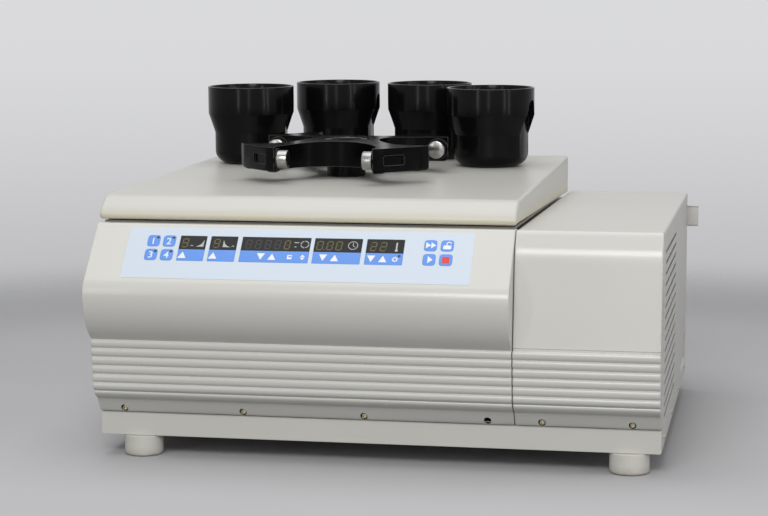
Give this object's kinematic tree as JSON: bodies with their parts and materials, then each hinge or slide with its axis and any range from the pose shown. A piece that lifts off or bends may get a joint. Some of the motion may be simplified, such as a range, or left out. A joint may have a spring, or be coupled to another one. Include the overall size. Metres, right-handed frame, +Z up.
{
  "type": "benchtop centrifuge",
  "caption": "Refrigerated benchtop centrifuge with a slanted keypad, ribbed front, flat hinged lid, and a swing-out rotor and round buckets set out on the lid.",
  "frame": {"origin": "centre of the bounding box's bottom face, on the surface that the feet stand on", "axes": "+X to the machine's right, +Y to its back, +Z up; the control panel faces -Y"},
  "size_m": [0.752, 0.7328, 0.4719],
  "materials": {
    "white_paint": "fine satin, warm off-white",
    "grey_paint": "satin, warm grey",
    "pale_rubber": "matt, off-white",
    "black_rubber": "matt black",
    "steel": "turned or brushed",
    "black_anodised": "black anodised, polished",
    "label_foil": "pale blue polyester foil",
    "blue_key": "blue with white signs",
    "red_key": "blue with a red square sign",
    "smoked_lens": "smoked and glossy",
    "black_plastic": "fine black texture",
    "black_paint": "gloss black",
    "circuit_board": "green solder mask",
    "bare_aluminium": "plain"
  },
  "bodies": {
    "cabinet": {"base_pan": "white_paint", "foot_front_left": "pale_rubber", "foot_front_right": "pale_rubber", "foot_rear_left": "pale_rubber", "foot_rear_right": "pale_rubber", "keypad_foil": "label_foil", "display_lens": "smoked_lens", "control_board": "circuit_board", "front_cowl": "white_paint", "right_front_cover": "white_paint", "right_cabinet_cover": "white_paint", "left_side_panel": "white_paint", "rear_panel": "white_paint", "rear_spacer_bar": "white_paint", "chamber_deck": "white_paint", "chamber_bowl": "steel", "chamber_seal": "black_rubber", "motor_mount_ring": "black_rubber", "drive_motor": "bare_aluminium", "compressor": "black_paint", "condenser": "bare_aluminium", "drive_electronics": "bare_aluminium", "mains_inlet": "black_plastic", "hinge_rod": "steel", "lid_lock_bolt": "steel"},
    "lid": {"lid_shell": "white_paint", "lid_liner": "grey_paint", "lid_hinge_frame": "steel", "lid_striker": "steel"},
    "strut_tube": {"strut_cylinder": "black_paint"},
    "strut_piston": {"strut_rod": "steel"},
    "spindle": {"drive_spindle": "steel"},
    "fan": {"condenser_fan": "black_plastic"},
    "power_switch": {"mains_switch": "black_plastic"},
    "rotor": {"rotor_cross": "black_anodised", "trunnion_pin_right_a": "steel", "trunnion_pin_right_b": "steel", "trunnion_pin_rear_a": "steel", "trunnion_pin_rear_b": "steel", "trunnion_pin_left_a": "steel", "trunnion_pin_left_b": "steel", "trunnion_pin_front_a": "steel", "trunnion_pin_front_b": "steel"},
    "left_bucket": {"bucket_left": "black_anodised"},
    "back_left_bucket": {"bucket_back_left": "black_anodised"},
    "back_right_bucket": {"bucket_back_right": "black_anodised"},
    "right_bucket": {"bucket_right": "black_anodised"},
    "key_1": {"program_key_1": "blue_key"},
    "key_2": {"program_key_2": "blue_key"},
    "key_3": {"program_key_3": "blue_key"},
    "key_4": {"program_key_4": "blue_key"},
    "key_acceleration": {"acceleration_key": "blue_key"},
    "key_braking": {"braking_key": "blue_key"},
    "key_speed": {"speed_keys": "blue_key"},
    "key_time": {"time_keys": "blue_key"},
    "key_temperature": {"temperature_keys": "blue_key"},
    "key_quick_run": {"quick_run_key": "blue_key"},
    "key_lid": {"lid_key": "blue_key"},
    "key_start": {"start_key": "blue_key"},
    "key_stop": {"stop_key": "red_key"}
  },
  "joints": [
    {"name": "lid_hinge", "type": "hinge", "parent": "cabinet", "child": "lid", "pos_m": [-0.091, 0.328, 0.308], "axis": [-1, 0, 0], "range_deg": [0, 80]},
    {"name": "strut_swing", "type": "hinge", "parent": "cabinet", "child": "strut_tube", "pos_m": [-0.343, 0.268, 0.108], "axis": [-1, 0, 0], "range_deg": [0, 12.1]},
    {"name": "strut_stroke", "type": "slide", "parent": "strut_tube", "child": "strut_piston", "axis": [0, 0, 1], "range_m": [0, 0.0605]},
    {"name": "spindle_turn", "type": "hinge", "parent": "cabinet", "child": "spindle", "pos_m": [-0.091, 0.037, 0.12], "axis": [0, 0, 1], "continuous": true},
    {"name": "fan_turn", "type": "hinge", "parent": "cabinet", "child": "fan", "pos_m": [0.292, -0.106, 0.172], "axis": [1, 0, 0], "continuous": true},
    {"name": "switch_rock", "type": "hinge", "parent": "cabinet", "child": "power_switch", "pos_m": [0.205, 0.346, 0.078], "axis": [1, 0, 0], "range_deg": [0, 14]},
    {"name": "rotor_lift", "type": "slide", "parent": "lid", "child": "rotor", "axis": [0, -0.0352, 0.9994], "range_m": [0, 0.25]},
    {"name": "left_bucket_lift", "type": "slide", "parent": "lid", "child": "left_bucket", "axis": [0, -0.0352, 0.9994], "range_m": [0, 0.25]},
    {"name": "back_left_bucket_lift", "type": "slide", "parent": "lid", "child": "back_left_bucket", "axis": [0, -0.0352, 0.9994], "range_m": [0, 0.25]},
    {"name": "back_right_bucket_lift", "type": "slide", "parent": "lid", "child": "back_right_bucket", "axis": [0, -0.0352, 0.9994], "range_m": [0, 0.25]},
    {"name": "right_bucket_lift", "type": "slide", "parent": "lid", "child": "right_bucket", "axis": [0, -0.0352, 0.9994], "range_m": [0, 0.25]},
    {"name": "key_1_press", "type": "slide", "parent": "cabinet", "child": "key_1", "axis": [0, 0.7543, -0.6566], "range_m": [0, 0.0006], "stiffness_N_per_m": 2000},
    {"name": "key_2_press", "type": "slide", "parent": "cabinet", "child": "key_2", "axis": [0, 0.7543, -0.6566], "range_m": [0, 0.0006], "stiffness_N_per_m": 2000},
    {"name": "key_3_press", "type": "slide", "parent": "cabinet", "child": "key_3", "axis": [0, 0.7543, -0.6566], "range_m": [0, 0.0006], "stiffness_N_per_m": 2000},
    {"name": "key_4_press", "type": "slide", "parent": "cabinet", "child": "key_4", "axis": [0, 0.7543, -0.6566], "range_m": [0, 0.0006], "stiffness_N_per_m": 2000},
    {"name": "acceleration_key_press", "type": "slide", "parent": "cabinet", "child": "key_acceleration", "axis": [0, 0.7543, -0.6566], "range_m": [0, 0.0006], "stiffness_N_per_m": 2000},
    {"name": "braking_key_press", "type": "slide", "parent": "cabinet", "child": "key_braking", "axis": [0, 0.7543, -0.6566], "range_m": [0, 0.0006], "stiffness_N_per_m": 2000},
    {"name": "speed_keys_press", "type": "slide", "parent": "cabinet", "child": "key_speed", "axis": [0, 0.7543, -0.6566], "range_m": [0, 0.0006], "stiffness_N_per_m": 2000},
    {"name": "time_keys_press", "type": "slide", "parent": "cabinet", "child": "key_time", "axis": [0, 0.7543, -0.6566], "range_m": [0, 0.0006], "stiffness_N_per_m": 2000},
    {"name": "temperature_keys_press", "type": "slide", "parent": "cabinet", "child": "key_temperature", "axis": [0, 0.7543, -0.6566], "range_m": [0, 0.0006], "stiffness_N_per_m": 2000},
    {"name": "quick_run_key_press", "type": "slide", "parent": "cabinet", "child": "key_quick_run", "axis": [0, 0.7543, -0.6566], "range_m": [0, 0.0006], "stiffness_N_per_m": 2000},
    {"name": "lid_key_press", "type": "slide", "parent": "cabinet", "child": "key_lid", "axis": [0, 0.7543, -0.6566], "range_m": [0, 0.0006], "stiffness_N_per_m": 2000},
    {"name": "start_key_press", "type": "slide", "parent": "cabinet", "child": "key_start", "axis": [0, 0.7543, -0.6566], "range_m": [0, 0.0006], "stiffness_N_per_m": 2000},
    {"name": "stop_key_press", "type": "slide", "parent": "cabinet", "child": "key_stop", "axis": [0, 0.7543, -0.6566], "range_m": [0, 0.0006], "stiffness_N_per_m": 2000}
  ],
  "couplings": [
    {"joint": "strut_swing", "follows": "lid_hinge", "ratio": 0.1506},
    {"joint": "strut_stroke", "follows": "lid_hinge", "m_per_rad": 0.0431}
  ]
}
